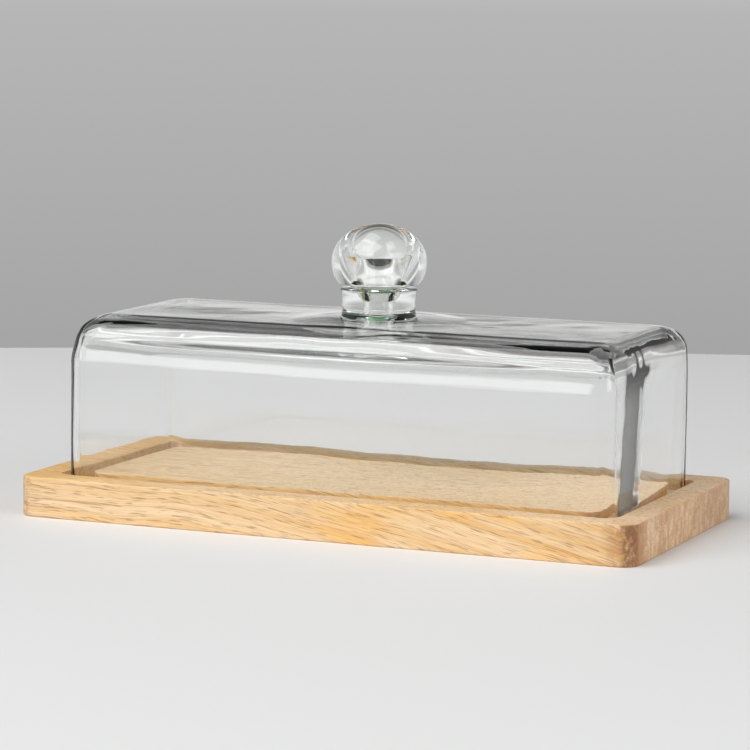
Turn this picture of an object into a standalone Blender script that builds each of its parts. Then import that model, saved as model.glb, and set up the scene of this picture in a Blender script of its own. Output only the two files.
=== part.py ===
"""Cheese dome: a grooved wooden board, a blown-glass cover that stands in the groove, and a glass knob.

Units are metres, +Z is up. The origin is the centre of the board's underside, with the board's length along X
and its width along Y. The cover and its knob lift straight up out of the groove.
"""
import math

import bmesh
import bpy

# Board
BOARD_LENGTH = 0.370
BOARD_WIDTH = 0.177
BOARD_HEIGHT = 0.023
BOARD_CORNER_RADIUS = 0.0095
BOARD_EDGE_RADIUS = 0.0015

# Groove round the serving platform
RIM_WIDTH = 0.0165
GROOVE_WIDTH = 0.0145
GROOVE_DEPTH = 0.008
GROOVE_CORNER_RADIUS = 0.0085
PLATFORM_CORNER_RADIUS = 0.0080
GROOVE_EDGE_RADIUS = 0.0008
GROOVE_FLOOR_FILLET = 0.0015

# Glass cover
COVER_TO_RIM = 0.0030
COVER_WALL = 0.0042
COVER_CORNER_RADIUS = 0.0100
COVER_INNER_CORNER_RADIUS = 0.0130
COVER_TOP = 0.1148
COVER_TOP_EDGE_RADIUS = 0.0140
COVER_INNER_EDGE_RADIUS = 0.0130
COVER_TOP_CORNER_RADIUS = 0.0130
RESTING_GAP = 0.0003

# Glass knob
FOOT_RADIUS = 0.0223
FLARE_HEIGHT = 0.0040
NECK_RADIUS = 0.0208
SHOULDER_RADIUS = 0.0219
NECK_HEIGHT = 0.0165
NECK_EDGE_RADIUS = 0.0008
PINCH_RADIUS = 0.0162
PINCH_HEIGHT = 0.0010
BALL_RADIUS = 0.0273
BALL_HALF_HEIGHT = 0.0220
BALL_CENTRE_ABOVE_NECK = 0.0145
BALL_UNDERSIDE_RISE = 0.0018

# Fineness of the round stretches
CORNER_STEPS = 6
EDGE_STEPS = 5
KNOB_SEGMENTS = 48
BALL_STEPS = 14
FLARE_STEPS = 3
BOARD_EDGE_STEPS = 3
GROOVE_EDGE_STEPS = 2
NECK_EDGE_STEPS = 2
LIP_STEPS = 3


def clear_scene():
    """Remove every object, so that the file holds only this part."""
    for scene_object in list(bpy.data.objects):
        bpy.data.objects.remove(scene_object, do_unlink=True)


def principled(name, colour, roughness, transmission=0.0, ior=1.5):
    """Make a non-metallic Principled material."""
    material = bpy.data.materials.new(name)
    material.use_nodes = True
    shader = material.node_tree.nodes["Principled BSDF"]
    shader.inputs["Base Color"].default_value = (*colour, 1.0)
    shader.inputs["Roughness"].default_value = roughness
    shader.inputs["Metallic"].default_value = 0.0
    shader.inputs["IOR"].default_value = ior
    shader.inputs["Transmission Weight"].default_value = transmission
    return material


def add_object(name, mesh_builder, material, origin=(0.0, 0.0, 0.0)):
    """Write a bmesh, modelled about the origin given, into a named object placed there."""
    bmesh.ops.recalc_face_normals(mesh_builder, faces=mesh_builder.faces)
    bmesh.ops.translate(mesh_builder, verts=mesh_builder.verts, vec=[-value for value in origin])
    mesh = bpy.data.meshes.new(name)
    mesh_builder.to_mesh(mesh)
    mesh_builder.free()
    mesh.shade_smooth()
    mesh.set_sharp_from_angle(angle=math.radians(35.0))
    mesh.materials.append(material)
    scene_object = bpy.data.objects.new(name, mesh)
    scene_object.location = origin
    bpy.context.collection.objects.link(scene_object)
    return scene_object


def rounded_rectangle(half_length, half_width, radius, height):
    """Points of a level rectangle with round corners, anticlockwise seen from above."""
    points = []
    for corner, (side_x, side_y) in enumerate(((1, -1), (1, 1), (-1, 1), (-1, -1))):
        centre_x = side_x * (half_length - radius)
        centre_y = side_y * (half_width - radius)
        for step in range(CORNER_STEPS + 1):
            angle = math.radians(90.0 * (corner - 1 + step / CORNER_STEPS))
            x = centre_x + radius * math.cos(angle)
            y = centre_y + radius * math.sin(angle)
            points.append((x, y, height))
    return points


def loft(outlines):
    """Skin a run of outlines that have equal numbers of points, and close both of its ends."""
    mesh_builder = bmesh.new()
    rings = [[mesh_builder.verts.new(point) for point in outline] for outline in outlines]
    for lower, upper in zip(rings, rings[1:]):
        for index in range(len(lower)):
            following = (index + 1) % len(lower)
            mesh_builder.faces.new((lower[index], lower[following], upper[following], upper[index]))
    mesh_builder.faces.new(rings[0])
    mesh_builder.faces.new(rings[-1])
    return mesh_builder


def quarter_turn(steps):
    """Sine and cosine pairs that run from (0, 1) to (1, 0)."""
    angles = [math.radians(90.0 * step / steps) for step in range(steps + 1)]
    return [(math.sin(angle), math.cos(angle)) for angle in angles]


def board_outlines():
    """Outlines of the board, from its underside up, over the rim, through the groove, onto the platform."""
    half_length = BOARD_LENGTH / 2
    half_width = BOARD_WIDTH / 2
    groove_floor = BOARD_HEIGHT - GROOVE_DEPTH
    outlines = []

    def add(inset, radius, height):
        outlines.append(rounded_rectangle(half_length - inset, half_width - inset, radius, height))

    edge = BOARD_EDGE_RADIUS
    for rise, run in quarter_turn(BOARD_EDGE_STEPS):
        inset = edge * (1 - rise)
        add(inset, BOARD_CORNER_RADIUS - inset, edge * (1 - run))
    for rise, run in quarter_turn(BOARD_EDGE_STEPS):
        inset = edge * (1 - run)
        add(inset, BOARD_CORNER_RADIUS - inset, BOARD_HEIGHT - edge * (1 - rise))

    edge = GROOVE_EDGE_RADIUS
    for rise, run in quarter_turn(GROOVE_EDGE_STEPS):
        inset = edge * (1 - rise)
        add(RIM_WIDTH - inset, GROOVE_CORNER_RADIUS + inset, BOARD_HEIGHT - edge * (1 - run))
    fillet = GROOVE_FLOOR_FILLET
    for rise, run in quarter_turn(GROOVE_EDGE_STEPS):
        inset = fillet * (1 - run)
        add(RIM_WIDTH + inset, GROOVE_CORNER_RADIUS - inset, groove_floor + fillet * (1 - rise))

    platform = RIM_WIDTH + GROOVE_WIDTH
    for rise, run in quarter_turn(GROOVE_EDGE_STEPS):
        inset = fillet * (1 - rise)
        add(platform - inset, PLATFORM_CORNER_RADIUS + inset, groove_floor + fillet * (1 - run))
    for rise, run in quarter_turn(GROOVE_EDGE_STEPS):
        inset = edge * (1 - run)
        add(platform + inset, PLATFORM_CORNER_RADIUS - inset, BOARD_HEIGHT - edge * (1 - rise))
    return outlines


def cover_outlines():
    """Outlines of the cover, from the outside of its top, down to its rim and up inside to the ceiling."""
    half_length = BOARD_LENGTH / 2 - RIM_WIDTH - COVER_TO_RIM
    half_width = BOARD_WIDTH / 2 - RIM_WIDTH - COVER_TO_RIM
    foot = BOARD_HEIGHT - GROOVE_DEPTH + RESTING_GAP
    ceiling = COVER_TOP - COVER_WALL
    lip = COVER_WALL / 2
    outlines = []

    def add(inset, radius, height):
        outlines.append(rounded_rectangle(half_length - inset, half_width - inset, radius, height))

    edge = COVER_TOP_EDGE_RADIUS
    for rise, run in quarter_turn(EDGE_STEPS):
        radius = COVER_CORNER_RADIUS + (COVER_TOP_CORNER_RADIUS - COVER_CORNER_RADIUS) * (1 - rise)
        add(edge * (1 - rise), radius, COVER_TOP - edge * (1 - run))
    for rise, run in quarter_turn(LIP_STEPS):
        add(lip * (1 - run), COVER_CORNER_RADIUS, foot + lip * (1 - rise))
    for rise, run in quarter_turn(LIP_STEPS)[1:]:
        radius = COVER_CORNER_RADIUS + (COVER_INNER_CORNER_RADIUS - COVER_CORNER_RADIUS) * rise
        add(lip * (1 + rise), radius, foot + lip * (1 - run))
    edge = COVER_INNER_EDGE_RADIUS
    for rise, run in quarter_turn(EDGE_STEPS):
        add(COVER_WALL + edge * (1 - run), COVER_INNER_CORNER_RADIUS, ceiling - edge * (1 - rise))
    return outlines


def knob_profile():
    """Radius and height pairs of the turned knob, from the centre of its foot to the crown of its ball."""
    foot = COVER_TOP + RESTING_GAP
    shoulder = foot + NECK_HEIGHT
    ball_centre = shoulder + BALL_CENTRE_ABOVE_NECK
    edge = NECK_EDGE_RADIUS

    profile = [(0.0, foot), (FOOT_RADIUS - edge, foot)]
    for step in range(FLARE_STEPS + 1):
        fraction = step / FLARE_STEPS
        ease = math.sin(math.radians(90.0 * fraction))
        radius = FOOT_RADIUS + (NECK_RADIUS - FOOT_RADIUS) * ease
        profile.append((radius, foot + edge + FLARE_HEIGHT * fraction))
    for rise, run in quarter_turn(NECK_EDGE_STEPS):
        profile.append((SHOULDER_RADIUS - edge * (1 - run), shoulder - edge * (1 - rise)))
    profile.append((PINCH_RADIUS, shoulder))
    profile.append((PINCH_RADIUS, shoulder + PINCH_HEIGHT))

    ball_start = shoulder + PINCH_HEIGHT + BALL_UNDERSIDE_RISE
    lowest = math.asin((ball_start - ball_centre) / BALL_HALF_HEIGHT)
    for step in range(BALL_STEPS):
        angle = lowest + (math.pi / 2 - lowest) * step / BALL_STEPS
        profile.append((BALL_RADIUS * math.cos(angle), ball_centre + BALL_HALF_HEIGHT * math.sin(angle)))
    profile.append((0.0, ball_centre + BALL_HALF_HEIGHT))
    return profile


def turned(profile):
    """Spin a profile of radius and height pairs round the Z axis into a closed body."""
    mesh_builder = bmesh.new()
    verts = [mesh_builder.verts.new((radius, 0.0, height)) for radius, height in profile]
    edges = [mesh_builder.edges.new(pair) for pair in zip(verts, verts[1:])]
    bmesh.ops.spin(
        mesh_builder,
        geom=verts + edges,
        cent=(0.0, 0.0, 0.0),
        axis=(0.0, 0.0, 1.0),
        angle=math.tau,
        steps=KNOB_SEGMENTS,
        use_merge=True,
    )
    bmesh.ops.remove_doubles(mesh_builder, verts=mesh_builder.verts, dist=1e-6)
    return mesh_builder


def build():
    """Make the three pieces, with the cover and knob hung on the empty that marks their lift."""
    clear_scene()
    wood = principled("mango_wood", (0.62, 0.40, 0.20), 0.55)
    glass = principled("clear_glass", (0.93, 0.97, 0.94), 0.02, transmission=1.0, ior=1.52)
    knob_glass = principled("solid_glass", (0.94, 0.97, 0.95), 0.01, transmission=1.0, ior=1.52)

    add_object("base_board", loft(board_outlines()), wood)

    lift_axis = bpy.data.objects.new("cover_lift_axis", None)
    lift_axis.location = (0.0, 0.0, BOARD_HEIGHT - GROOVE_DEPTH + RESTING_GAP)
    bpy.context.collection.objects.link(lift_axis)
    cover = add_object("glass_cover", loft(cover_outlines()), glass, origin=tuple(lift_axis.location))
    knob_origin = (0.0, 0.0, COVER_TOP + RESTING_GAP)
    knob = add_object("glass_knob", turned(knob_profile()), knob_glass, origin=knob_origin)
    bpy.context.view_layer.update()
    for piece in (cover, knob):
        piece.parent = lift_axis
        piece.matrix_parent_inverse = lift_axis.matrix_world.inverted()


build()
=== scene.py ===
"""Looks of the cheese dome: oiled mango-wood board, hand-blown glass cover and clear glass knob.

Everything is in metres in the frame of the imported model: +Z up, the board's length along X, front at -Y.
"""
import math

import bmesh
import bpy
from mathutils import Matrix, Vector, noise


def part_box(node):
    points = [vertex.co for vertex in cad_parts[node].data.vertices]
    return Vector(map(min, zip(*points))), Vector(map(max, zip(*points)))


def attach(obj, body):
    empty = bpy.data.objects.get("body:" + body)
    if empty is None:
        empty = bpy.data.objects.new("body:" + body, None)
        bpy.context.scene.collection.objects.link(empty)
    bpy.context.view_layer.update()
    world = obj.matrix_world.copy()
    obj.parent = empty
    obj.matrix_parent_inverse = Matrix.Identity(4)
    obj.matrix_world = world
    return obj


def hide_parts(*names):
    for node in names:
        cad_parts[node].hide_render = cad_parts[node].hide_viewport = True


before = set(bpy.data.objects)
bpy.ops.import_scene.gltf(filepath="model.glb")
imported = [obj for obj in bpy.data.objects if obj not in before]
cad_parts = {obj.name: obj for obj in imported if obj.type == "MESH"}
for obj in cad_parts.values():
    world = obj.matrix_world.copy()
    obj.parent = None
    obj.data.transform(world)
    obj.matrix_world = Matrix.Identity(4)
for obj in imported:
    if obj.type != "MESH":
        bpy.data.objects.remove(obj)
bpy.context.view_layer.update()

BOARD_LOW, BOARD_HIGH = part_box("base_board")
COVER_LOW, COVER_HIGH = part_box("glass_cover")
KNOB_LOW, KNOB_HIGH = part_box("glass_knob")

# Board, inside its CAD box
BOARD_CORNER_RADIUS = 0.0095
BOARD_EDGE_RADIUS = 0.0009
RIM_WIDTH = 0.0165
GROOVE_WIDTH = 0.0145
GROOVE_DEPTH = 0.0080
GROOVE_CORNER_RADIUS = 0.0085
PLATFORM_CORNER_RADIUS = 0.0080
GROOVE_EDGE_RADIUS = 0.0006
GROOVE_FILLET = 0.0015
PLATFORM_HALF_LENGTH = 0.154
PLATFORM_HALF_WIDTH = 0.0575
BOARD_CORNER_STEPS = 10
BOARD_SPACES = (24, 60)

# Wood colours
PALE_WOOD = (0.82, 0.610, 0.370)
HONEY_WOOD = (0.75, 0.480, 0.205)
AMBER_BLOTCH = (0.84, 0.46, 0.11)
SANDED_WOOD = (0.76, 0.53, 0.31)
WARM_WOOD = (0.86, 0.50, 0.15)
COOL_WOOD = (0.90, 0.67, 0.48)
# Painted light: a paler tone for the platform's top, making up for the light the glass cover holds back
PLATFORM_PAINTED_LIGHT = (0.97, 0.76, 0.51)
# Painted light: a golden tone on the groove's walls in place of light reaching down into the groove
GROOVE_PAINTED_LIGHT = (0.86, 0.52, 0.19)
# Painted shade: brown on the groove's walls at the right-hand end
GROOVE_PAINTED_SHADE = (0.48, 0.24, 0.09)
DARK_GRAIN_LINE = (0.43, 0.200, 0.080)
PALE_GRAIN_LINE = (0.93, 0.74, 0.49)
FIBRE_COLOUR = (0.50, 0.27, 0.12)
PORE_COLOUR = (0.27, 0.12, 0.055)
END_WOOD = (0.61, 0.37, 0.20)
PALE_END_WOOD = (0.88, 0.64, 0.43)
END_CLOUD_COLOUR = (0.55, 0.30, 0.15)
END_DOT_COLOUR = (0.30, 0.15, 0.07)
END_BACK_COLOUR = (0.42, 0.25, 0.15)
BROWNED_WOOD = (0.42, 0.195, 0.070)
SCORCHED_WOOD = (0.20, 0.090, 0.040)

# Cover, inside its CAD box
WALL = 0.0042
COVER_CORNER_RADIUS = 0.0100
INNER_CORNER_RADIUS = 0.0072
TOP_EDGE_RADIUS = 0.0140
TOP_CORNER_RADIUS = 0.0120
INNER_EDGE_RADIUS = 0.0125
CEILING_THICKNESS = 0.0050
COVER_SPACES = (34, 84)
COVER_CORNER_STEPS = 12
TOP_STEPS = 34
WALL_STEPS = 26
CEILING_STEPS = 40
INNER_CORNER_CLIMB = 0.030

# Unevenness of the blown cover: how far its walls lean in, sag and vary in thickness
LEAN = 0.0017
LEAN_REACH = 0.036
TOP_SAG = 0.0030
FRONT_EDGE_SAG = 0.0024
FRONT_EDGE_SAG_REACH = 0.016
LEFT_CORNER_THINNING = 0.0014
LEFT_EDGE_THINNING = 0.0020
FRONT_EDGE_GATHER = 0.0024
FRONT_EDGE_THINNING = 0.0005
CORD_DEPTH = 0.00016
CORD_REACH = 0.012
END_WALL_THINNING = 0.0012
SWELLING_START = 0.015
SWELLING_SLANT = 0.012
SWELLING_RISE = 0.100
SWELLING_RISE_LENGTH = 0.036
SWELLING_FALL = 0.065
SWELLING_FALL_START = 0.038
SWELLING_FALL_LENGTH = 0.046

# Knob, inside its CAD box
FOOT_RADIUS = 0.0223
NECK_RADIUS = 0.0208
SHOULDER_RADIUS = 0.0219
NECK_HEIGHT = 0.0165
FOOT_FLARE_HEIGHT = 0.0042
SHOULDER_EDGE_RADIUS = 0.0010
PINCH_RADIUS = 0.0162
PINCH_MIDDLE = 0.0008
PINCH_ROUNDING = 0.0007
PINCH_HALF_HEIGHT = 0.0006
BALL_START = 0.0028
BALL_RADIUS = 0.0273
BALL_HALF_HEIGHT = 0.0220
HOLLOW_RADIUS = 0.0163
HOLLOW_WIDEST = 0.0350
HOLLOW_COVER = 0.0040
HOLLOW_TIP_RADIUS = 0.00001
HOLLOW_BULGE = 0.0010
THROAT_RADIUS = 0.0060
THROAT_HEIGHT = 0.0105
TURN_STEPS = 96

# Stage: greys are pairs of a direction's height, from -1 straight down to 1 straight up, and its grey
FLOOR_RADIUS = 3.0
FLOOR_FAR_EDGE = 0.78
BEHIND_GREYS = (
    (-1.0, 0.37),
    (-0.13, 0.37),
    (-0.02, 0.47),
    (0.03, 0.88),
    (0.092, 0.84),
    (0.132, 0.38),
    (0.27, 0.17),
    (0.50, 0.07),
)
BEFORE_GREYS = ((-1.0, 0.80), (0.0, 0.80), (0.40, 0.75), (0.60, 0.25), (0.8, 0.08), (1.0, 0.08))
LAMP_AIM = Vector((0.0, 0.0, 0.05))

# Camera
CAMERA_PLACE = (0.7399, -1.7401, 0.3304)
CAMERA_YAW = 23.09
CAMERA_PITCH = 7.495
CAMERA_ROLL = 0.556
CAMERA_LENS = 160.7
SENSOR_WIDTH = 36.0


# ---------------------------------------------------------------- shader helpers


class Shader:
    """A material's node tree with short calls for the nodes used here."""

    def __init__(self, name):
        self.material = bpy.data.materials.new(name)
        self.material.use_nodes = True
        self.tree = self.material.node_tree
        self.surface = self.tree.nodes["Principled BSDF"]
        self.output = self.tree.nodes["Material Output"]

    def node(self, kind, **settings):
        made = self.tree.nodes.new(kind)
        for key, value in settings.items():
            setattr(made, key, value)
        return made

    def link(self, source, target):
        self.tree.links.new(source, target)

    def feed(self, socket, value):
        """Link a socket, or set a number or colour."""
        if isinstance(value, bpy.types.NodeSocket):
            self.link(value, socket)
        else:
            socket.default_value = value

    def coordinates(self):
        return self.node("ShaderNodeTexCoord").outputs["Object"]

    def split(self, vector):
        made = self.node("ShaderNodeSeparateXYZ")
        self.link(vector, made.inputs[0])
        return made.outputs

    def join(self, x, y, z):
        made = self.node("ShaderNodeCombineXYZ")
        for socket, value in zip(made.inputs, (x, y, z)):
            self.feed(socket, value)
        return made.outputs[0]

    def math(self, operation, *values):
        made = self.node("ShaderNodeMath", operation=operation)
        for socket, value in zip(made.inputs, values):
            self.feed(socket, value)
        return made.outputs[0]

    def product(self, first, *others):
        """Multiply numbers or sockets together."""
        for other in others:
            first = self.math("MULTIPLY", first, other)
        return first

    def scaled(self, vector, scale):
        made = self.node("ShaderNodeVectorMath", operation="MULTIPLY")
        self.link(vector, made.inputs[0])
        made.inputs[1].default_value = scale
        return made.outputs[0]

    def noise(self, vector, scale, detail=3.0, roughness=0.5):
        made = self.node("ShaderNodeTexNoise")
        self.link(vector, made.inputs["Vector"])
        made.inputs["Scale"].default_value = scale
        made.inputs["Detail"].default_value = detail
        made.inputs["Roughness"].default_value = roughness
        return made.outputs["Fac"]

    def ramp(self, value, low, high, to_low=0.0, to_high=1.0):
        """Go smoothly from to_low to to_high while the value goes from low to high."""
        made = self.node("ShaderNodeMapRange", clamp=True, interpolation_type="SMOOTHSTEP")
        self.feed(made.inputs["Value"], value)
        made.inputs["From Min"].default_value = low
        made.inputs["From Max"].default_value = high
        made.inputs["To Min"].default_value = to_low
        made.inputs["To Max"].default_value = to_high
        return made.outputs["Result"]

    def mix(self, factor, first, second):
        made = self.node("ShaderNodeMix", data_type="RGBA")
        self.feed(made.inputs["Factor"], factor)
        for socket, value in ((made.inputs[6], first), (made.inputs[7], second)):
            if isinstance(value, tuple):
                value = (*value, 1.0)
            self.feed(socket, value)
        return made.outputs[2]

    def bump(self, height, strength, distance):
        made = self.node("ShaderNodeBump")
        made.inputs["Strength"].default_value = strength
        made.inputs["Distance"].default_value = distance
        self.link(height, made.inputs["Height"])
        return made.outputs["Normal"]


# ---------------------------------------------------------------- materials


def wood_material():
    """Oiled mango wood: a solid pattern with long grain along X, so every face shows its own cut."""
    s = Shader("oiled_mango_wood")
    place = s.coordinates()
    x, y, _ = s.split(place)
    facing = s.split(s.node("ShaderNodeNewGeometry").outputs["Normal"])
    level = grain_level(s, place)
    grain = s.join(x, y, level)
    streaks = s.noise(s.scaled(grain, (8, 260, 440)), 1.0, 4.0, 0.68)
    fibres = s.noise(s.scaled(grain, (45, 1500, 1900)), 1.0, 3.0, 0.6)
    pores = s.ramp(s.noise(s.scaled(grain, (90, 1500, 1500)), 1.0, 1.0, 0.5), 0.58, 0.67)
    within_x = s.ramp(s.math("ABSOLUTE", x), BOARD_HIGH.x - 0.012, BOARD_HIGH.x - 0.008, 1.0, 0.0)
    within_y = s.ramp(s.math("ABSOLUTE", y), BOARD_HIGH.y - 0.012, BOARD_HIGH.y - 0.008, 1.0, 0.0)
    within = s.product(within_x, within_y)

    colour = growth_layers(s, place, level)
    colour = level_faces(s, colour, place, facing)
    # Painted light and painted shade on the groove's walls
    colour = groove_painted_light_and_shade(s, colour, x, facing, within)
    colour = grain_lines(s, colour, facing, streaks, fibres, pores)
    end = s.ramp(s.math("ABSOLUTE", facing[0]), 0.55, 0.95)
    end = s.product(end, s.math("SUBTRACT", 1.0, within), 0.92)
    colour = s.mix(end, colour, end_grain(s, place, y))
    colour = scorched_corners(s, colour, place, facing)
    s.link(colour, s.surface.inputs["Base Color"])

    roughness = s.ramp(streaks, 0.3, 0.7, 0.46, 0.60)
    roughness = s.math("ADD", roughness, s.product(pores, 0.15))
    s.link(roughness, s.surface.inputs["Roughness"])
    s.surface.inputs["Specular IOR Level"].default_value = 0.35
    height = s.math("SUBTRACT", s.product(fibres, 0.4), pores)
    s.link(s.bump(height, 0.35, 0.00025), s.surface.inputs["Normal"])
    return s.material


def grain_level(s, place):
    """Height within the grain, which follows the board at its left end and slopes down towards +X."""
    x, _, z = s.split(place)
    along = s.math("ADD", x, BOARD_HIGH.x)
    dip = s.product(along, along, 0.42)
    drift = s.noise(s.scaled(place, (5, 14, 14)), 1.0, 2.0)
    wander = s.product(s.math("SUBTRACT", drift, 0.5), 0.030)
    return s.math("ADD", s.math("ADD", z, dip), wander)


def growth_layers(s, place, level):
    """Broad soft bands of paler and more honey-coloured wood, with amber blotches."""
    x, y, _ = s.split(place)
    depth = s.math("ADD", s.product(y, 0.35), level)
    layered = s.join(s.product(x, 1.2), s.product(y, 10.0), s.product(depth, 160.0))
    bands = s.ramp(s.noise(layered, 1.0, 3.0, 0.6), 0.36, 0.66)
    blotches = s.noise(s.scaled(place, (9, 22, 22)), 1.0, 3.0, 0.55)
    colour = s.mix(bands, PALE_WOOD, HONEY_WOOD)
    return s.mix(s.ramp(blotches, 0.50, 0.66, 0.0, 0.55), colour, AMBER_BLOTCH)


def level_faces(s, colour, place, facing):
    """The level faces are sanded finest and paler, warmer to the left and cooler to the right; the
    platform's top gets a painted brightening, painted light in place of the light that the glass cover holds
    back.
    """
    x, y, _ = s.split(place)
    top = s.ramp(facing[2], 0.80, 0.98)
    colour = s.mix(s.product(top, 0.30), colour, SANDED_WOOD)
    colour = s.mix(s.product(top, s.ramp(x, -0.17, -0.05, 0.70, 0.0)), colour, WARM_WOOD)
    colour = s.mix(s.product(top, s.ramp(x, 0.06, 0.17, 0.0, 0.50)), colour, COOL_WOOD)
    inside_x = s.ramp(s.math("ABSOLUTE", x), PLATFORM_HALF_LENGTH, PLATFORM_HALF_LENGTH + 0.0005, 1.0, 0.0)
    inside_y = s.ramp(s.math("ABSOLUTE", y), PLATFORM_HALF_WIDTH, PLATFORM_HALF_WIDTH + 0.0005, 1.0, 0.0)
    # painted light: the platform's top is brightened under the glass cover
    return s.mix(s.product(inside_x, inside_y, top, 0.50), colour, PLATFORM_PAINTED_LIGHT)


def groove_painted_light_and_shade(s, colour, x, facing, within):
    """Painted light and shade on the groove's walls: a painted golden light on them all, and painted shade
    that browns them at the right-hand end.
    """
    side = s.math("SUBTRACT", 1.0, s.ramp(s.math("ABSOLUTE", facing[2]), 0.2, 0.7))
    wall = s.product(side, within)
    # painted golden light on every groove wall
    colour = s.mix(s.product(wall, 0.6), colour, GROOVE_PAINTED_LIGHT)
    # painted shade at the groove's right-hand end
    return s.mix(s.product(wall, s.ramp(x, 0.10, 0.15, 0.0, 0.65)), colour, GROOVE_PAINTED_SHADE)


def grain_lines(s, colour, facing, streaks, fibres, pores):
    """Dark and pale grain lines, fine fibres and pores."""
    strength = s.ramp(facing[2], 0.80, 0.98, 0.72, 0.50)
    colour = s.mix(s.product(s.ramp(streaks, 0.52, 0.70), strength), colour, DARK_GRAIN_LINE)
    colour = s.mix(s.ramp(streaks, 0.30, 0.46, 0.55, 0.0), colour, PALE_GRAIN_LINE)
    colour = s.mix(s.ramp(fibres, 0.40, 0.70, 0.0, 0.35), colour, FIBRE_COLOUR)
    return s.mix(s.product(pores, 0.50), colour, PORE_COLOUR)


def end_grain(s, place, y):
    """End grain drinks more oil: browner and mottled, with faint upright saw marks."""
    upright = s.noise(s.scaled(place, (20, 260, 75)), 1.0, 4.0, 0.7)
    cloud = s.noise(s.scaled(place, (40, 70, 90)), 1.0, 5.0, 0.7)
    dots = s.noise(s.scaled(place, (200, 900, 900)), 1.0, 2.0, 0.6)
    colour = s.mix(s.ramp(upright, 0.32, 0.68), END_WOOD, PALE_END_WOOD)
    colour = s.mix(s.ramp(cloud, 0.44, 0.58, 0.0, 0.70), colour, END_CLOUD_COLOUR)
    colour = s.mix(s.ramp(dots, 0.54, 0.64, 0.0, 0.50), colour, END_DOT_COLOUR)
    return s.mix(s.ramp(y, -0.02, 0.09, 0.0, 0.40), colour, END_BACK_COLOUR)


def scorched_corners(s, colour, place, facing):
    """The front right corner is scorched, fading along both faces; the other corners only lightly."""
    x, y, _ = s.split(place)
    turn = s.product(s.math("ABSOLUTE", facing[0]), s.math("ABSOLUTE", facing[1]))
    near_x = s.ramp(x, BOARD_HIGH.x - 0.022, BOARD_HIGH.x - 0.003)
    near_y = s.ramp(y, BOARD_LOW.y + 0.004, BOARD_LOW.y + 0.026, 1.0, 0.0)
    near = s.product(near_x, near_y)
    upstanding = s.ramp(facing[2], 0.55, 0.90, 1.0, 0.25)
    patchy = s.noise(s.scaled(place, (130, 130, 90)), 1.0, 5.0, 0.75)
    browned = s.product(near, s.ramp(patchy, 0.36, 0.58, 0.25, 0.95), upstanding)
    colour = s.mix(browned, colour, BROWNED_WOOD)
    speckle = s.noise(s.scaled(place, (420, 420, 260)), 1.0, 4.0, 0.75)
    speckle = s.ramp(speckle, 0.40, 0.60, 0.30, 1.0)
    bend = s.product(s.ramp(turn, 0.08, 0.40), s.math("ADD", s.product(near, 0.45), 0.40))
    return s.mix(s.product(bend, speckle, upstanding), colour, SCORCHED_WOOD)


def glass_material(name, roughness, ripple, painted_haze_with_seeds=False):
    """Clear soda glass with a trace of green where it is thick, and a faint ripple from its making."""
    s = Shader(name)
    s.surface.inputs["Base Color"].default_value = (0.996, 1.0, 0.997, 1.0)
    s.surface.inputs["IOR"].default_value = 1.50
    s.surface.inputs["Transmission Weight"].default_value = 1.0
    place = s.coordinates()
    smear = s.noise(s.scaled(place, (30, 30, 12)), 1.0, 3.0, 0.6)
    s.link(s.ramp(smear, 0.45, 0.75, roughness * 0.3, roughness), s.surface.inputs["Roughness"])
    wave = s.noise(place, 120.0, 2.0, 0.5)
    s.link(s.bump(wave, ripple, 0.00015), s.surface.inputs["Normal"])
    # Real seeds over a painted haze that stands in for the grey band the thick end wall refracts
    if painted_haze_with_seeds:
        seeds_and_painted_haze(s, place)
    absorption = s.node("ShaderNodeVolumeAbsorption")
    absorption.inputs["Color"].default_value = (0.60, 0.86, 0.72, 1.0)
    absorption.inputs["Density"].default_value = 1.8
    s.link(absorption.outputs[0], s.output.inputs["Volume"])

    # Lamps are let through in part, in place of the light that bends in through the glass.
    passing = s.node("ShaderNodeBsdfTransparent")
    passing.inputs["Color"].default_value = (0.62, 0.63, 0.62, 1.0)
    mix = s.node("ShaderNodeMixShader")
    s.link(s.node("ShaderNodeLightPath").outputs["Is Shadow Ray"], mix.inputs[0])
    s.link(s.surface.outputs[0], mix.inputs[1])
    s.link(passing.outputs[0], mix.inputs[2])
    s.link(mix.outputs[0], s.output.inputs["Surface"])
    return s.material


def seeds_and_painted_haze(s, place):
    """Tiny seeds in the thick swelling of the right-hand end wall, over a faint upright haze, a painted
    reflection in place of the grey band that the thick glass bends into view.
    """
    x, y, z = s.split(place)
    ragged = s.noise(s.scaled(place, (0, 120, 26)), 1.0, 4.0, 0.6)
    wander = s.product(s.math("SUBTRACT", ragged, 0.5), 0.014)
    across = s.math("SUBTRACT", s.math("ADD", y, wander), s.product(z, 0.10))
    begins = s.ramp(across, COVER_LOW.y + 0.012, COVER_LOW.y + 0.015)
    ends = s.ramp(across, COVER_LOW.y + 0.044, COVER_LOW.y + 0.050, 1.0, 0.0)
    at_end = s.ramp(x, COVER_HIGH.x - 0.012, COVER_HIGH.x - 0.009)
    low = s.ramp(z, COVER_HIGH.z - 0.040, COVER_HIGH.z - 0.016, 1.0, 0.0)
    seeds = s.ramp(s.noise(place, 1400.0, 1.0), 0.66, 0.72, 0.0, 0.5)
    # the painted haze is the faint even part; the seeds sit on it
    cloud = s.product(begins, ends, at_end, low, s.math("ADD", seeds, 0.060))
    s.link(s.math("SUBTRACT", 1.0, cloud), s.surface.inputs["Transmission Weight"])


def fused_material():
    """The inner faces where knob and cover are one glass: light crosses them unbent."""
    s = Shader("fused_glass_joint")
    clear = s.node("ShaderNodeBsdfTransparent")
    s.link(clear.outputs[0], s.output.inputs["Surface"])
    s.tree.nodes.remove(s.surface)
    return s.material


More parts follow.
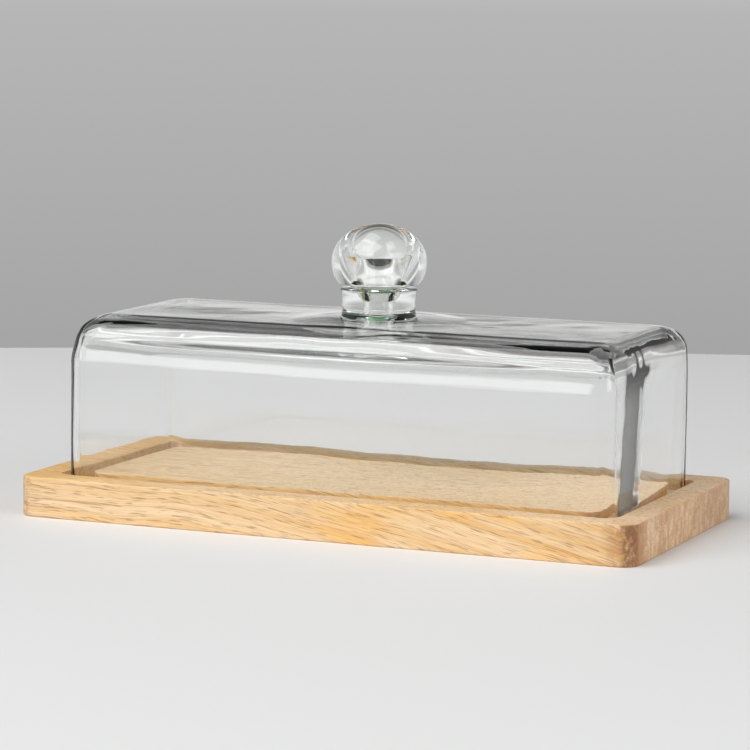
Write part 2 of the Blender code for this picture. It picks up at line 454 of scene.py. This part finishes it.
def plain_material(name, colour, roughness):
    """A dull even surface for the floor."""
    s = Shader(name)
    s.surface.inputs["Base Color"].default_value = (*colour, 1.0)
    s.surface.inputs["Roughness"].default_value = roughness
    s.surface.inputs["Specular IOR Level"].default_value = 0.2
    return s.material


# ---------------------------------------------------------------- mesh helpers


def quarter_turn(steps):
    """Sine and cosine pairs that run from (0, 1) to (1, 0)."""
    angles = [math.radians(90.0 * step / steps) for step in range(steps + 1)]
    return [(math.sin(angle), math.cos(angle)) for angle in angles]


def stretch(start, end, steps):
    """Evenly spaced numbers after start, up to and with end."""
    return [start + (end - start) * step / steps for step in range(1, steps + 1)]


def rounded_rectangle(half_length, half_width, radius, height, corner_steps, spaces):
    """Points of a level rectangle with round corners, anticlockwise, with its straight sides divided."""
    points = []
    end_count, side_count = spaces
    sides = ((1, -1, end_count), (1, 1, side_count), (-1, 1, end_count), (-1, -1, side_count))
    for corner, (side_x, side_y, count) in enumerate(sides):
        centre_x = side_x * (half_length - radius)
        centre_y = side_y * (half_width - radius)
        for step in range(corner_steps + 1):
            angle = math.radians(90.0 * (corner - 1 + step / corner_steps))
            offset = Vector((math.cos(angle), math.sin(angle), 0.0)) * radius
            points.append(Vector((centre_x, centre_y, height)) + offset)
        next_x, next_y, _ = sides[(corner + 1) % 4]
        target = Vector((next_x * (half_length - radius), next_y * (half_width - radius), height))
        angle = math.radians(90.0 * corner)
        target += Vector((radius * math.cos(angle), radius * math.sin(angle), 0.0))
        start = points[-1].copy()
        for step in range(1, count):
            points.append(start.lerp(target, step / count))
    return points


def skin(outlines, joined=False):
    """Skin outlines that have equal numbers of points, and cap the run's ends or join them."""
    mesh_builder = bmesh.new()
    rings = [[mesh_builder.verts.new(point) for point in outline] for outline in outlines]
    pairs = list(zip(rings, rings[1:]))
    if joined:
        pairs.append((rings[-1], rings[0]))
    for lower, upper in pairs:
        for index in range(len(lower)):
            following = (index + 1) % len(lower)
            mesh_builder.faces.new((lower[index], lower[following], upper[following], upper[index]))
    if not joined:
        mesh_builder.faces.new(rings[0])
        mesh_builder.faces.new(rings[-1])
    bmesh.ops.recalc_face_normals(mesh_builder, faces=mesh_builder.faces)
    mesh_builder.normal_update()
    return mesh_builder, rings


def finish_piece(mesh_builder, name, materials):
    """Turn a built mesh into a smooth-shaded object with its materials."""
    mesh = bpy.data.meshes.new(name)
    mesh_builder.to_mesh(mesh)
    mesh_builder.free()
    mesh.shade_smooth()
    for material in materials:
        mesh.materials.append(material)
    piece = bpy.data.objects.new(name, mesh)
    bpy.context.scene.collection.objects.link(piece)
    return piece


# ---------------------------------------------------------------- pieces


def board_piece():
    """The board with finely rounded edges, its groove and the platform inside it."""
    half_length = BOARD_HIGH.x
    half_width = BOARD_HIGH.y
    top = BOARD_HIGH.z
    floor = top - GROOVE_DEPTH
    outlines = []

    def add(inset, radius, height):
        length = half_length - inset
        width = half_width - inset
        outlines.append(rounded_rectangle(length, width, radius, height, BOARD_CORNER_STEPS, BOARD_SPACES))

    edge = BOARD_EDGE_RADIUS
    for rise, run in quarter_turn(6):
        inset = edge * (1 - rise)
        add(inset, BOARD_CORNER_RADIUS - inset, edge * (1 - run))
    for height in stretch(edge, top - edge, 8)[:-1]:
        add(0.0, BOARD_CORNER_RADIUS, height)
    for rise, run in quarter_turn(6):
        inset = edge * (1 - run)
        add(inset, BOARD_CORNER_RADIUS - inset, top - edge * (1 - rise))
    edge = GROOVE_EDGE_RADIUS
    for rise, run in quarter_turn(5):
        inset = edge * (1 - rise)
        add(RIM_WIDTH - inset, GROOVE_CORNER_RADIUS + inset, top - edge * (1 - run))
    fillet = GROOVE_FILLET
    for rise, run in quarter_turn(5):
        inset = fillet * (1 - run)
        add(RIM_WIDTH + inset, GROOVE_CORNER_RADIUS - inset, floor + fillet * (1 - rise))
    platform = RIM_WIDTH + GROOVE_WIDTH
    for rise, run in quarter_turn(5):
        inset = fillet * (1 - rise)
        add(platform - inset, PLATFORM_CORNER_RADIUS + inset, floor + fillet * (1 - run))
    for rise, run in quarter_turn(5):
        inset = edge * (1 - run)
        add(platform + inset, PLATFORM_CORNER_RADIUS - inset, top - edge * (1 - rise))

    mesh_builder, _ = skin(outlines)
    piece = finish_piece(mesh_builder, "board_wood", [wood_material()])
    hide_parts("base_board")
    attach(piece, "board")
    return piece


def glass_wave(point, seed, broad, fine):
    """How far blown glass stands in or out at a point: broad hollows and finer ripples, in metres."""
    shift = Vector((seed * 3.7, seed * 1.3, seed * 2.1))
    slow = noise.noise(point * 17.0 + shift)
    quick = noise.noise(Vector((point.x * 52.0, point.y * 52.0, point.z * 30.0)) + shift * 2.0)
    return broad * slow + fine * quick


def ease(value):
    """Smooth step from 0 to 1."""
    value = min(1.0, max(0.0, value))
    return value * value * (3 - 2 * value)


def top_softening(point):
    """How far the outside is drawn in: walls lean in under the top, which sags towards its front edge."""
    below = COVER_HIGH.z - point.z
    reach = LEAN_REACH + 0.008 * noise.noise(Vector((point.x * 28.0, point.y * 28.0, 2.0)))
    lean = LEAN * ease(1.0 - below / reach) ** 2
    forward = max(0.0, 0.010 - point.y) / 0.066
    lean = max(lean, TOP_SAG * forward * forward * ease((0.028 - below) / 0.020))
    across = point.y - COVER_LOW.y
    near_edge = math.exp(-((math.hypot(across, below) / FRONT_EDGE_SAG_REACH) ** 2))
    along = (point.x + 0.02) / (0.85 * COVER_HIGH.x)
    return lean + FRONT_EDGE_SAG * near_edge * max(0.0, 1.0 - along * along)


def drawn_in(point, level):
    """How far the outer face lies inside its true box at a point, which is nothing under the knob."""
    broad = 0.0005 - 0.0003 * ease(level * 2.0 - 0.8)
    wave = broad - glass_wave(point, 1.0, broad, 0.00005)
    clear = ease((point.xy.length - FOOT_RADIUS) / 0.03)
    return (wave + top_softening(point)) * clear


def edge_thickness(point, facing):
    """Glass is drawn thin round the left end's corners and edge, and gathers inside the front top edge."""
    upright = 2.0 * max(0.0, facing.x) * abs(facing.y)
    left_edge = 2.0 * max(0.0, facing.x) * abs(facing.z)
    front_edge = 2.0 * max(0.0, facing.y) * abs(facing.z)
    along = (point.x + 0.01) / (0.80 * COVER_HIGH.x)
    uneven = 0.8 + 0.5 * noise.noise(Vector((point.x * 22.0, 4.0, 9.0)))
    gather = FRONT_EDGE_GATHER * max(0.0, 1.0 - along * along) * uneven
    thinning = LEFT_CORNER_THINNING * upright + LEFT_EDGE_THINNING * left_edge
    return (gather - FRONT_EDGE_THINNING) * front_edge - thinning


def edge_cords(point):
    """Long fine cords of thicker glass inside the front top edge."""
    across = point.y - COVER_LOW.y - 0.012
    below = COVER_HIGH.z - point.z - 0.006
    near_edge = math.exp(-((math.hypot(across, below) / CORD_REACH) ** 2))
    near_edge *= ease((COVER_HIGH.x - 0.020 - abs(point.x)) / 0.03)
    return CORD_DEPTH * near_edge * noise.noise(Vector((point.x * 12.0, point.y * 170.0, point.z * 170.0)))


def end_thickness(point, height):
    """Extra glass inside the right-hand wall: a swelling behind the front corner, corded at its start."""
    slant = SWELLING_SLANT * height + 0.004 * noise.noise(Vector((0.0, 7.0, point.z * 60.0)))
    behind = point.y - COVER_LOW.y - SWELLING_START - slant
    cord = noise.noise(Vector((3.0, point.y * 210.0, point.z * 22.0)))
    rise = SWELLING_RISE * min(max(behind, 0.0), SWELLING_RISE_LENGTH)
    fall = SWELLING_FALL * min(max(0.0, behind - SWELLING_FALL_START), SWELLING_FALL_LENGTH)
    zone = ease(behind / 0.01) * ease((0.05 - behind) / 0.02)
    fade = ease((0.92 + 0.05 * cord * zone - height) / 0.22)
    return (rise - fall) * fade - END_WALL_THINNING + CORD_DEPTH * cord * zone


def inner_unevenness(point, facing, height):
    """How far the inner face stands in from its true box: it follows the outer face and adds swellings."""
    end_wall = ease(-facing.x * 1.6 - 0.5)
    steady = max(end_wall, ease(-facing.z * 2.0 - 0.8))
    amount = drawn_in(point - facing * WALL, abs(facing.z))
    amount += glass_wave(point, 5.0, 0.0006 - 0.0004 * steady, 0.00014 - 0.00010 * steady)
    amount += edge_cords(point)
    amount += end_thickness(point, height) * end_wall
    return amount + edge_thickness(point, facing)


def cover_outline(inset, radius, height):
    """A level outline of the cover, set in from its outer faces."""
    half_length = COVER_HIGH.x - inset
    half_width = COVER_HIGH.y - inset
    return rounded_rectangle(half_length, half_width, radius, height, COVER_CORNER_STEPS, COVER_SPACES)


def circle_like(outline, radius, height):
    """A circle with a point for each point of an outline."""
    circle = []
    for point in outline:
        angle = math.atan2(point.y / COVER_HIGH.y, point.x / COVER_HIGH.x)
        circle.append(Vector((radius * math.cos(angle), radius * math.sin(angle), height)))
    return circle


def between(first, last, share):
    """The outline that lies a share of the way from the first to the last."""
    return [start.lerp(end, share) for start, end in zip(first, last)]


def cover_outside():
    """Outlines from the knob's foot over the top, down the outer faces and round half of the lip."""
    top = COVER_HIGH.z
    lip = WALL / 2
    edge = TOP_EDGE_RADIUS
    shoulder = cover_outline(edge, TOP_CORNER_RADIUS, top)
    disc = circle_like(shoulder, FOOT_RADIUS, top)
    outlines = [circle_like(shoulder, THROAT_RADIUS, top)]
    for step in range(TOP_STEPS):
        outlines.append(between(disc, shoulder, step / TOP_STEPS))
    for rise, run in quarter_turn(12):
        radius = COVER_CORNER_RADIUS + (TOP_CORNER_RADIUS - COVER_CORNER_RADIUS) * (1 - rise)
        outlines.append(cover_outline(edge * (1 - rise), radius, top - edge * (1 - run)))
    for height in stretch(top - edge, COVER_LOW.z + lip, WALL_STEPS)[:-1]:
        outlines.append(cover_outline(0.0, COVER_CORNER_RADIUS, height))
    for rise, run in quarter_turn(6):
        outlines.append(cover_outline(lip * (1 - run), COVER_CORNER_RADIUS, COVER_LOW.z + lip * (1 - rise)))
    return outlines


def cover_inside():
    """Outlines from the lip up the inner faces, whose corners tighten, and across the ceiling."""
    foot = COVER_LOW.z
    ceiling = COVER_HIGH.z - CEILING_THICKNESS
    lip = WALL / 2
    edge = INNER_EDGE_RADIUS
    tighter = INNER_CORNER_RADIUS - COVER_CORNER_RADIUS
    outlines = []
    for rise, run in quarter_turn(6)[1:]:
        radius = COVER_CORNER_RADIUS + 0.25 * tighter * rise
        outlines.append(cover_outline(lip * (1 + rise), radius, foot + lip * (1 - run)))
    for height in stretch(foot + lip, ceiling - edge, WALL_STEPS):
        share = 0.25 + 0.75 * ease((height - foot - lip) / INNER_CORNER_CLIMB)
        outlines.append(cover_outline(WALL, COVER_CORNER_RADIUS + share * tighter, height))
    for rise, run in quarter_turn(12)[1:]:
        inset = WALL + edge * (1 - run)
        outlines.append(cover_outline(inset, INNER_CORNER_RADIUS, ceiling - edge * (1 - rise)))
    last = outlines[-1]
    throat = circle_like(last, THROAT_RADIUS, ceiling)
    for step in range(1, CEILING_STEPS + 1):
        outlines.append(between(last, throat, step / CEILING_STEPS))
    return outlines


def cover_piece():
    """The blown cover: an uneven shell with a soft lip, open where the knob's throat joins it."""
    outside = cover_outside()
    mesh_builder, rings = skin(outside + cover_inside(), joined=True)
    fused = set(rings[0] + rings[1])
    for face in mesh_builder.faces:
        face.material_index = int(all(vert in fused for vert in face.verts))
    moves = []
    for ring_index, ring in enumerate(rings):
        for vert in ring:
            point = vert.co.copy()
            facing = vert.normal
            height = (point.z - COVER_LOW.z) / (COVER_HIGH.z - COVER_LOW.z)
            if ring_index < len(outside):
                amount = -drawn_in(point, abs(facing.z))
            else:
                amount = inner_unevenness(point, facing, height)
            moves.append((vert, facing * amount * ease(height / 0.12)))
    for vert, move in moves:
        vert.co += move
    mesh_builder.normal_update()
    glass = glass_material("blown_glass", 0.02, 0.12, painted_haze_with_seeds=True)
    piece = finish_piece(mesh_builder, "cover_glass", [glass, fused_material()])
    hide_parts("glass_cover")
    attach(piece, "cover")
    return piece


def turned_rings(profile):
    """Rings of points for a profile of radius and height pairs."""
    angles = [math.tau * index / TURN_STEPS for index in range(TURN_STEPS)]
    directions = [Vector((math.cos(angle), math.sin(angle), 0.0)) for angle in angles]
    rings = []
    for radius, height in profile:
        rings.append([outward * radius + Vector((0.0, 0.0, height)) for outward in directions])
    return rings


def hollow_profile(foot, crown):
    """The air blown into the knob: a dome in the ball, a funnel below it, and a tube through the foot."""
    waist = foot + HOLLOW_WIDEST
    high = crown - HOLLOW_COVER
    throat = foot + THROAT_HEIGHT
    profile = []
    for rise, run in quarter_turn(20):
        profile.append((max(HOLLOW_TIP_RADIUS, HOLLOW_RADIUS * rise), waist + (high - waist) * run))
    for share in stretch(0.0, 1.0, 24):
        bulge = HOLLOW_BULGE * math.sin(math.pi * share)
        radius = HOLLOW_RADIUS + (THROAT_RADIUS - HOLLOW_RADIUS) * share
        profile.append((radius + bulge, waist + (throat - waist) * share))
    for height in stretch(throat, foot, 8):
        profile.append((THROAT_RADIUS, height))
    return profile


def neck_profile(foot, shoulder):
    """The neck's outside: a flared foot, a slightly widening side, a shoulder and the pinch above it."""
    flare = foot + FOOT_FLARE_HEIGHT
    edge = SHOULDER_EDGE_RADIUS
    profile = [(FOOT_RADIUS, foot)]
    for share in stretch(0.0, 1.0, 8):
        radius = FOOT_RADIUS + (NECK_RADIUS - FOOT_RADIUS) * math.sin(math.pi / 2 * share)
        profile.append((radius, foot + FOOT_FLARE_HEIGHT * share))
    for share in stretch(0.0, 1.0, 6):
        radius = NECK_RADIUS + (SHOULDER_RADIUS - NECK_RADIUS) * share**2
        profile.append((radius, flare + (shoulder - edge - flare) * share))
    for rise, run in quarter_turn(5)[1:]:
        profile.append((SHOULDER_RADIUS - edge * (1 - run), shoulder - edge * (1 - rise)))
    profile.append((0.5 * (SHOULDER_RADIUS + PINCH_RADIUS) - 0.0005, shoulder + 0.0001))
    for step in range(7):
        angle = math.radians(-90 + 180 * step / 6)
        radius = PINCH_RADIUS + PINCH_ROUNDING * (1 - math.cos(angle))
        profile.append((radius, shoulder + PINCH_MIDDLE + PINCH_HALF_HEIGHT * math.sin(angle)))
    return profile


def ball_profile(shoulder, crown):
    """The ball's outside, from just above the pinch up to the crown."""
    centre = crown - BALL_HALF_HEIGHT
    lowest = math.asin((shoulder + BALL_START - centre) / BALL_HALF_HEIGHT)
    profile = [(0.5 * (PINCH_RADIUS + BALL_RADIUS * math.cos(lowest)), shoulder + 0.0019)]
    for step in range(41):
        angle = lowest + (math.pi / 2 - lowest) * step / 40
        profile.append((BALL_RADIUS * math.cos(angle), centre + BALL_HALF_HEIGHT * math.sin(angle)))
    return profile


def knob_piece():
    """The knob: a flattened hollow ball pinched in above a thick neck, whose foot melts into the cover."""
    foot = COVER_HIGH.z
    shoulder = KNOB_LOW.z + NECK_HEIGHT
    crown = KNOB_HIGH.z
    profile = hollow_profile(foot, crown) + neck_profile(foot, shoulder) + ball_profile(shoulder, crown)
    mesh_builder, _ = skin(turned_rings(profile))
    bmesh.ops.remove_doubles(mesh_builder, verts=mesh_builder.verts, dist=1e-6)
    for face in mesh_builder.faces:
        face.material_index = int(all(abs(vert.co.z - foot) < 1e-6 for vert in face.verts))
    mesh_builder.normal_update()
    glass = glass_material("knob_clear_glass", 0.01, 0.05)
    piece = finish_piece(mesh_builder, "knob_glass", [glass, fused_material()])
    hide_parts("glass_knob")
    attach(piece, "cover")
    return piece


# ---------------------------------------------------------------- stage, light, camera


def level_ahead():
    """The level direction in which the camera looks."""
    yaw = math.radians(CAMERA_YAW)
    return Vector((-math.sin(yaw), math.cos(yaw), 0.0))


def floor_stage():
    """A plain pale round table top, set so that its far edge lies behind the object."""
    shift = level_ahead() * (FLOOR_FAR_EDGE - FLOOR_RADIUS)
    mesh_builder = bmesh.new()
    bmesh.ops.create_circle(mesh_builder, cap_ends=True, segments=256, radius=FLOOR_RADIUS)
    bmesh.ops.translate(mesh_builder, verts=mesh_builder.verts, vec=shift)
    mesh = bpy.data.meshes.new("floor")
    mesh_builder.to_mesh(mesh)
    mesh_builder.free()
    mesh.materials.append(plain_material("pale_floor", (0.79, 0.79, 0.79), 0.6))
    floor = bpy.data.objects.new("floor", mesh)
    bpy.context.scene.collection.objects.link(floor)


def studio_world():
    """Grey behind with a bright strip just above the table's level, a paler room in front, dark overhead."""
    world = bpy.data.worlds.new("studio")
    bpy.context.scene.world = world
    world.use_nodes = True
    tree = world.node_tree
    background = tree.nodes["Background"]
    coordinates = tree.nodes.new("ShaderNodeTexCoord")
    split = tree.nodes.new("ShaderNodeSeparateXYZ")
    tree.links.new(coordinates.outputs["Generated"], split.inputs[0])

    def level_ramp(stops):
        """Grey values that change with the height of the direction."""
        spread = tree.nodes.new("ShaderNodeMapRange")
        spread.inputs["From Min"].default_value = -1.0
        tree.links.new(split.outputs["Z"], spread.inputs["Value"])
        ramp = tree.nodes.new("ShaderNodeValToRGB")
        tree.links.new(spread.outputs["Result"], ramp.inputs["Fac"])
        elements = ramp.color_ramp.elements
        while len(elements) < len(stops):
            elements.new(0.5)
        for element, (height, value) in zip(elements, stops):
            element.position = 0.5 + 0.5 * height
            element.color = (value, value, value, 1.0)
        return ramp.outputs["Color"]

    behind = level_ramp(BEHIND_GREYS)
    before = level_ramp(BEFORE_GREYS)
    turn = tree.nodes.new("ShaderNodeMapRange")
    turn.inputs["From Min"].default_value = 0.30
    turn.inputs["From Max"].default_value = 0.90
    aim = tree.nodes.new("ShaderNodeVectorMath")
    aim.operation = "DOT_PRODUCT"
    aim.inputs[1].default_value = level_ahead()
    tree.links.new(coordinates.outputs["Generated"], aim.inputs[0])
    tree.links.new(aim.outputs["Value"], turn.inputs["Value"])
    mix = tree.nodes.new("ShaderNodeMix")
    mix.data_type = "RGBA"
    tree.links.new(turn.outputs["Result"], mix.inputs["Factor"])
    tree.links.new(before, mix.inputs[6])
    tree.links.new(behind, mix.inputs[7])
    tree.links.new(mix.outputs[2], background.inputs["Color"])
    background.inputs["Strength"].default_value = 1.0


def softbox(name, place, size, power):
    """A rectangular lamp aimed at the object."""
    data = bpy.data.lights.new(name, "AREA")
    data.shape = "RECTANGLE"
    data.size = size[0]
    data.size_y = size[1]
    data.energy = power
    light = bpy.data.objects.new(name, data)
    light.location = place
    light.rotation_euler = (LAMP_AIM - Vector(place)).to_track_quat("-Z", "Y").to_euler()
    bpy.context.scene.collection.objects.link(light)


def place_camera():
    """The camera low in front of the board and to its right, with a long lens."""
    yaw, pitch, roll = (math.radians(value) for value in (CAMERA_YAW, CAMERA_PITCH, CAMERA_ROLL))
    ahead = Vector((-math.sin(yaw) * math.cos(pitch), math.cos(yaw) * math.cos(pitch), -math.sin(pitch)))
    right = Vector((math.cos(yaw), math.sin(yaw), 0.0))
    above = right.cross(ahead)
    tilted_right = math.cos(roll) * right + math.sin(roll) * above
    tilted_above = -math.sin(roll) * right + math.cos(roll) * above
    turn = Matrix((tilted_right, tilted_above, -ahead)).transposed()
    data = bpy.data.cameras.new("camera")
    data.lens = CAMERA_LENS
    data.sensor_width = SENSOR_WIDTH
    data.clip_start = 0.01
    data.clip_end = 50.0
    camera = bpy.data.objects.new("camera", data)
    camera.matrix_world = Matrix.Translation(CAMERA_PLACE) @ turn.to_4x4()
    bpy.context.scene.collection.objects.link(camera)
    bpy.context.scene.camera = camera


board_piece()
cover_piece()
knob_piece()
floor_stage()
studio_world()
softbox("key_softbox", (-0.95, -1.70, 3.00), (3.2, 3.0), 109.0)
softbox("window_card", (-1.19, -2.30, 0.62), (1.10, 0.95), 8.0)
softbox("side_card", (2.6, -1.0, 1.4), (1.8, 1.8), 25.0)
place_camera()
bpy.context.scene.view_settings.view_transform = "Standard"
